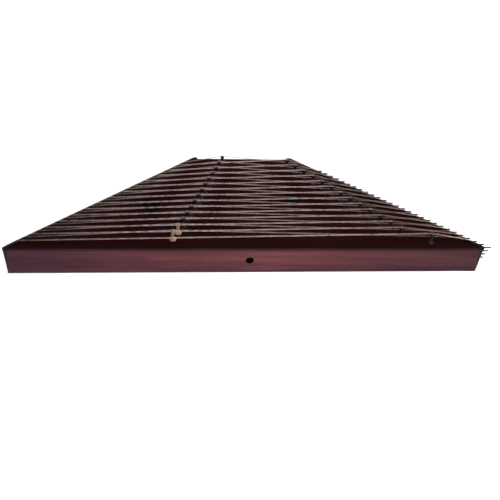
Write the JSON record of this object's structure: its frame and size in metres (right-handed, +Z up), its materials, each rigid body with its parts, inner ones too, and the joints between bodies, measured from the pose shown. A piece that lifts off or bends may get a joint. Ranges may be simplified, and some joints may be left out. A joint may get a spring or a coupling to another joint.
{
  "type": "hammered dulcimer",
  "caption": "Flat trapezoidal struck zither of the santur family: a shallow wooden sound box, rows of sliding pawn bridges, string courses and side tuning pins.",
  "frame": {"origin": "on the underside of the back board, at the middle of the box's depth and width", "axes": "+X along the strings towards the tuning pins, -Y towards the player at the long side, +Z up out of the soundboard"},
  "size_m": [0.9203, 0.28, 0.0859],
  "materials": {
    "rail_wood": "satin varnish over reddish brown walnut",
    "board_wood": "satin varnish, dark red brown",
    "rose_wood": "matt, nearly black",
    "nut_wood": "satin, dark brown",
    "bridge_wood": "turned and polished",
    "post_wood": "bare",
    "steel_wire": "drawn wire",
    "brass_wire": "drawn wire",
    "pin_steel": "turned, slightly dull"
  },
  "bodies": {
    "case": {"front_rail": "rail_wood", "right_rail": "rail_wood", "back_rail": "rail_wood", "left_rail": "rail_wood", "back_board": "rail_wood", "soundboard": "board_wood", "rose_left": "rose_wood", "rose_right": "rose_wood", "left_nut": "nut_wood", "right_nut": "nut_wood", "sound_post_1": "post_wood", "sound_post_2": "post_wood", "sound_post_3": "post_wood", "sound_post_4": "post_wood", "sound_post_5": "post_wood", "sound_post_6": "post_wood", "treble_strings": "steel_wire", "bass_strings": "brass_wire"},
    "treble_bridge_01": {"treble_bridge_01": "bridge_wood"},
    "treble_bridge_02": {"treble_bridge_02": "bridge_wood"},
    "treble_bridge_03": {"treble_bridge_03": "bridge_wood"},
    "treble_bridge_04": {"treble_bridge_04": "bridge_wood"},
    "treble_bridge_05": {"treble_bridge_05": "bridge_wood"},
    "treble_bridge_06": {"treble_bridge_06": "bridge_wood"},
    "treble_bridge_07": {"treble_bridge_07": "bridge_wood"},
    "treble_bridge_08": {"treble_bridge_08": "bridge_wood"},
    "treble_bridge_09": {"treble_bridge_09": "bridge_wood"},
    "treble_bridge_10": {"treble_bridge_10": "bridge_wood"},
    "treble_bridge_11": {"treble_bridge_11": "bridge_wood"},
    "treble_bridge_12": {"treble_bridge_12": "bridge_wood"},
    "treble_bridge_13": {"treble_bridge_13": "bridge_wood"},
    "treble_bridge_14": {"treble_bridge_14": "bridge_wood"},
    "bass_bridge_01": {"bass_bridge_01": "bridge_wood"},
    "bass_bridge_02": {"bass_bridge_02": "bridge_wood"},
    "bass_bridge_03": {"bass_bridge_03": "bridge_wood"},
    "bass_bridge_04": {"bass_bridge_04": "bridge_wood"},
    "bass_bridge_05": {"bass_bridge_05": "bridge_wood"},
    "bass_bridge_06": {"bass_bridge_06": "bridge_wood"},
    "bass_bridge_07": {"bass_bridge_07": "bridge_wood"},
    "bass_bridge_08": {"bass_bridge_08": "bridge_wood"},
    "bass_bridge_09": {"bass_bridge_09": "bridge_wood"},
    "bass_bridge_10": {"bass_bridge_10": "bridge_wood"},
    "bass_bridge_11": {"bass_bridge_11": "bridge_wood"},
    "bass_bridge_12": {"bass_bridge_12": "bridge_wood"},
    "bass_bridge_13": {"bass_bridge_13": "bridge_wood"},
    "bass_bridge_14": {"bass_bridge_14": "bridge_wood"},
    "tuning_pin_bass_1": {"tuning_pin_bass_1": "pin_steel"},
    "tuning_pin_bass_2": {"tuning_pin_bass_2": "pin_steel"},
    "tuning_pin_bass_3": {"tuning_pin_bass_3": "pin_steel"},
    "tuning_pin_bass_4": {"tuning_pin_bass_4": "pin_steel"},
    "tuning_pin_treble_1": {"tuning_pin_treble_1": "pin_steel"},
    "tuning_pin_treble_2": {"tuning_pin_treble_2": "pin_steel"},
    "tuning_pin_treble_3": {"tuning_pin_treble_3": "pin_steel"},
    "tuning_pin_treble_4": {"tuning_pin_treble_4": "pin_steel"}
  },
  "joints": [
    {"name": "treble_bridge_01_slide", "type": "slide", "parent": "case", "child": "treble_bridge_01", "axis": [1, 0, 0], "range_m": [-0.006, 0.006]},
    {"name": "treble_bridge_02_slide", "type": "slide", "parent": "case", "child": "treble_bridge_02", "axis": [1, 0, 0], "range_m": [-0.006, 0.006]},
    {"name": "treble_bridge_03_slide", "type": "slide", "parent": "case", "child": "treble_bridge_03", "axis": [1, 0, 0], "range_m": [-0.006, 0.006]},
    {"name": "treble_bridge_04_slide", "type": "slide", "parent": "case", "child": "treble_bridge_04", "axis": [1, 0, 0], "range_m": [-0.006, 0.006]},
    {"name": "treble_bridge_05_slide", "type": "slide", "parent": "case", "child": "treble_bridge_05", "axis": [1, 0, 0], "range_m": [-0.006, 0.006]},
    {"name": "treble_bridge_06_slide", "type": "slide", "parent": "case", "child": "treble_bridge_06", "axis": [1, 0, 0], "range_m": [-0.006, 0.006]},
    {"name": "treble_bridge_07_slide", "type": "slide", "parent": "case", "child": "treble_bridge_07", "axis": [1, 0, 0], "range_m": [-0.006, 0.006]},
    {"name": "treble_bridge_08_slide", "type": "slide", "parent": "case", "child": "treble_bridge_08", "axis": [1, 0, 0], "range_m": [-0.006, 0.006]},
    {"name": "treble_bridge_09_slide", "type": "slide", "parent": "case", "child": "treble_bridge_09", "axis": [1, 0, 0], "range_m": [-0.006, 0.006]},
    {"name": "treble_bridge_10_slide", "type": "slide", "parent": "case", "child": "treble_bridge_10", "axis": [1, 0, 0], "range_m": [-0.006, 0.006]},
    {"name": "treble_bridge_11_slide", "type": "slide", "parent": "case", "child": "treble_bridge_11", "axis": [1, 0, 0], "range_m": [-0.006, 0.006]},
    {"name": "treble_bridge_12_slide", "type": "slide", "parent": "case", "child": "treble_bridge_12", "axis": [1, 0, 0], "range_m": [-0.006, 0.006]},
    {"name": "treble_bridge_13_slide", "type": "slide", "parent": "case", "child": "treble_bridge_13", "axis": [1, 0, 0], "range_m": [-0.006, 0.006]},
    {"name": "treble_bridge_14_slide", "type": "slide", "parent": "case", "child": "treble_bridge_14", "axis": [1, 0, 0], "range_m": [-0.006, 0.006]},
    {"name": "bass_bridge_01_slide", "type": "slide", "parent": "case", "child": "bass_bridge_01", "axis": [1, 0, 0], "range_m": [-0.006, 0.006]},
    {"name": "bass_bridge_02_slide", "type": "slide", "parent": "case", "child": "bass_bridge_02", "axis": [1, 0, 0], "range_m": [-0.006, 0.006]},
    {"name": "bass_bridge_03_slide", "type": "slide", "parent": "case", "child": "bass_bridge_03", "axis": [1, 0, 0], "range_m": [-0.006, 0.006]},
    {"name": "bass_bridge_04_slide", "type": "slide", "parent": "case", "child": "bass_bridge_04", "axis": [1, 0, 0], "range_m": [-0.006, 0.006]},
    {"name": "bass_bridge_05_slide", "type": "slide", "parent": "case", "child": "bass_bridge_05", "axis": [1, 0, 0], "range_m": [-0.006, 0.006]},
    {"name": "bass_bridge_06_slide", "type": "slide", "parent": "case", "child": "bass_bridge_06", "axis": [1, 0, 0], "range_m": [-0.006, 0.006]},
    {"name": "bass_bridge_07_slide", "type": "slide", "parent": "case", "child": "bass_bridge_07", "axis": [1, 0, 0], "range_m": [-0.006, 0.006]},
    {"name": "bass_bridge_08_slide", "type": "slide", "parent": "case", "child": "bass_bridge_08", "axis": [1, 0, 0], "range_m": [-0.006, 0.006]},
    {"name": "bass_bridge_09_slide", "type": "slide", "parent": "case", "child": "bass_bridge_09", "axis": [1, 0, 0], "range_m": [-0.006, 0.006]},
    {"name": "bass_bridge_10_slide", "type": "slide", "parent": "case", "child": "bass_bridge_10", "axis": [1, 0, 0], "range_m": [-0.006, 0.006]},
    {"name": "bass_bridge_11_slide", "type": "slide", "parent": "case", "child": "bass_bridge_11", "axis": [1, 0, 0], "range_m": [-0.006, 0.006]},
    {"name": "bass_bridge_12_slide", "type": "slide", "parent": "case", "child": "bass_bridge_12", "axis": [1, 0, 0], "range_m": [-0.006, 0.006]},
    {"name": "bass_bridge_13_slide", "type": "slide", "parent": "case", "child": "bass_bridge_13", "axis": [1, 0, 0], "range_m": [-0.006, 0.006]},
    {"name": "bass_bridge_14_slide", "type": "slide", "parent": "case", "child": "bass_bridge_14", "axis": [1, 0, 0], "range_m": [-0.006, 0.006]},
    {"name": "tuning_pin_bass_1_turn", "type": "hinge", "parent": "case", "child": "tuning_pin_bass_1", "pos_m": [0.43232, -0.12575, 0.0505], "axis": [1, 0, 0], "continuous": true},
    {"name": "tuning_pin_bass_2_turn", "type": "hinge", "parent": "case", "child": "tuning_pin_bass_2", "pos_m": [0.43045, -0.12425, 0.0405], "axis": [1, 0, 0], "continuous": true},
    {"name": "tuning_pin_bass_3_turn", "type": "hinge", "parent": "case", "child": "tuning_pin_bass_3", "pos_m": [0.42859, -0.12275, 0.0305], "axis": [1, 0, 0], "continuous": true},
    {"name": "tuning_pin_bass_4_turn", "type": "hinge", "parent": "case", "child": "tuning_pin_bass_4", "pos_m": [0.42673, -0.12125, 0.0205], "axis": [1, 0, 0], "continuous": true},
    {"name": "tuning_pin_treble_1_turn", "type": "hinge", "parent": "case", "child": "tuning_pin_treble_1", "pos_m": [0.42127, -0.11685, 0.0505], "axis": [1, 0, 0], "continuous": true},
    {"name": "tuning_pin_treble_2_turn", "type": "hinge", "parent": "case", "child": "tuning_pin_treble_2", "pos_m": [0.41941, -0.11535, 0.0405], "axis": [1, 0, 0], "continuous": true},
    {"name": "tuning_pin_treble_3_turn", "type": "hinge", "parent": "case", "child": "tuning_pin_treble_3", "pos_m": [0.41755, -0.11385, 0.0305], "axis": [1, 0, 0], "continuous": true},
    {"name": "tuning_pin_treble_4_turn", "type": "hinge", "parent": "case", "child": "tuning_pin_treble_4", "pos_m": [0.41568, -0.11235, 0.0205], "axis": [1, 0, 0], "continuous": true}
  ]
}
